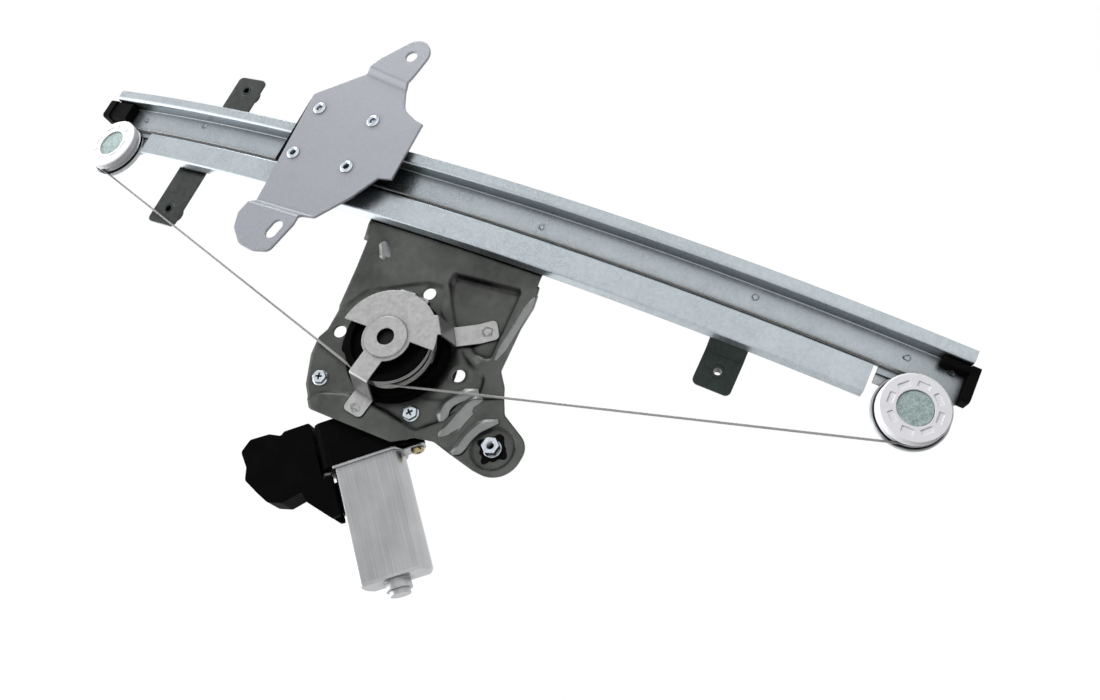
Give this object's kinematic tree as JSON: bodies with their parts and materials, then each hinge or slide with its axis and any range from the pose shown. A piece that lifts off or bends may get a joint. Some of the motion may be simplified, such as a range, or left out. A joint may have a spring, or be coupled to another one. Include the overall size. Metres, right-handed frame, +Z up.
{
  "type": "window regulator",
  "caption": "electric cable window regulator: bowed steel rail, sliding glass carrier, rope pulleys, motor plate with covered cable drum and a worm gear motor",
  "frame": {"origin": "rear face of the motor plate's dished ear on the axis of its weld nut, where it meets the door's inner panel", "axes": "+Z up along the rail, -Y towards the glass and the outside of the door, -X from the rail towards the motor"},
  "size_m": [0.3465, 0.0645, 0.6649],
  "materials": {
    "galvanised": "galvanised sheet with a fine spangle",
    "plate_steel": "pressed zinc-plated sheet, satin",
    "carrier_steel": "matt zinc-plated sheet",
    "dark_steel": "oiled dark sheet",
    "zinc": "bright zinc plate",
    "can_steel": "drawn steel brushed along the can",
    "core_steel": "laminated electrical sheet",
    "ferrite": "ferrite magnet, matt",
    "carbon": "carbon brush, matt",
    "copper": "turned copper",
    "bronze": "sintered bronze",
    "terminals": "tinned brass",
    "brass_screws": "yellow zinc plate",
    "rope": "greased galvanised wire rope",
    "black_plastic": "black moulded plastic",
    "gear_plastic": "natural acetal",
    "white_plastic": "white acetal",
    "rubber": "black rubber, matt"
  },
  "bodies": {
    "frame": {"guide_rail": "galvanised", "upper_strap": "galvanised", "lower_foot": "galvanised", "rail_nuts": "zinc", "upper_bumper": "rubber", "lower_bumper": "rubber", "upper_pulley_bracket": "dark_steel", "lower_pulley_bracket": "dark_steel", "pulley_rivets": "zinc", "motor_plate": "plate_steel", "plate_nut": "zinc", "drum_housing": "black_plastic", "drum_cover": "zinc", "cable_up": "rope", "cable_down": "rope", "gearbox_housing": "black_plastic", "gearbox_cover": "black_plastic", "motor_can": "can_steel", "can_screws": "brass_screws", "motor_screws": "zinc", "connector": "black_plastic", "connector_terminals": "terminals", "brush_holder": "black_plastic", "brushes": "carbon", "magnets": "ferrite", "can_bearing": "bronze", "worm_bearings": "bronze", "gearbox_seal": "rubber"},
    "carrier": {"carrier_plate": "carrier_steel", "guide_shoe": "black_plastic", "carrier_rivets": "zinc", "cable_ferrules": "zinc"},
    "drum": {"cable_drum": "black_plastic", "worm_wheel": "gear_plastic", "output_shaft": "can_steel", "damper": "rubber"},
    "armature": {"armature_shaft": "can_steel", "armature_core": "core_steel", "commutator": "copper"},
    "top_wheel": {"upper_pulley": "white_plastic"},
    "bottom_wheel": {"lower_pulley": "white_plastic"}
  },
  "joints": [
    {"name": "carrier_travel", "type": "hinge", "parent": "frame", "child": "carrier", "pos_m": [0, 1.3856, 0.0913], "axis": [-1, 0, 0], "range_deg": [-15.44, 6.9]},
    {"name": "drum_spin", "type": "hinge", "parent": "frame", "child": "drum", "pos_m": [0.0345, -0.0144, 0.0853], "axis": [0, -1, 0], "range_deg": [-816.91, 365.14]},
    {"name": "armature_spin", "type": "hinge", "parent": "frame", "child": "armature", "pos_m": [-0.03297, 0.01405, 0.07591], "axis": [-0.7552, 0.0872, -0.6496], "range_deg": [-58817.46, 26290.1]},
    {"name": "upper_pulley_spin", "type": "hinge", "parent": "frame", "child": "top_wheel", "pos_m": [0.1152, 0.01869, 0.39389], "axis": [0, -0.9764, 0.2161], "range_deg": [-1098.89, 491.18]},
    {"name": "lower_pulley_spin", "type": "hinge", "parent": "frame", "child": "bottom_wheel", "pos_m": [0.1152, 0.01869, -0.21129], "axis": [0, -0.9764, -0.2161], "range_deg": [-1098.89, 491.18]}
  ],
  "couplings": [
    {"joint": "drum_spin", "follows": "carrier_travel", "ratio": 52.913},
    {"joint": "armature_spin", "follows": "carrier_travel", "ratio": 3809.8},
    {"joint": "upper_pulley_spin", "follows": "carrier_travel", "ratio": 71.178},
    {"joint": "lower_pulley_spin", "follows": "carrier_travel", "ratio": 71.178}
  ]
}
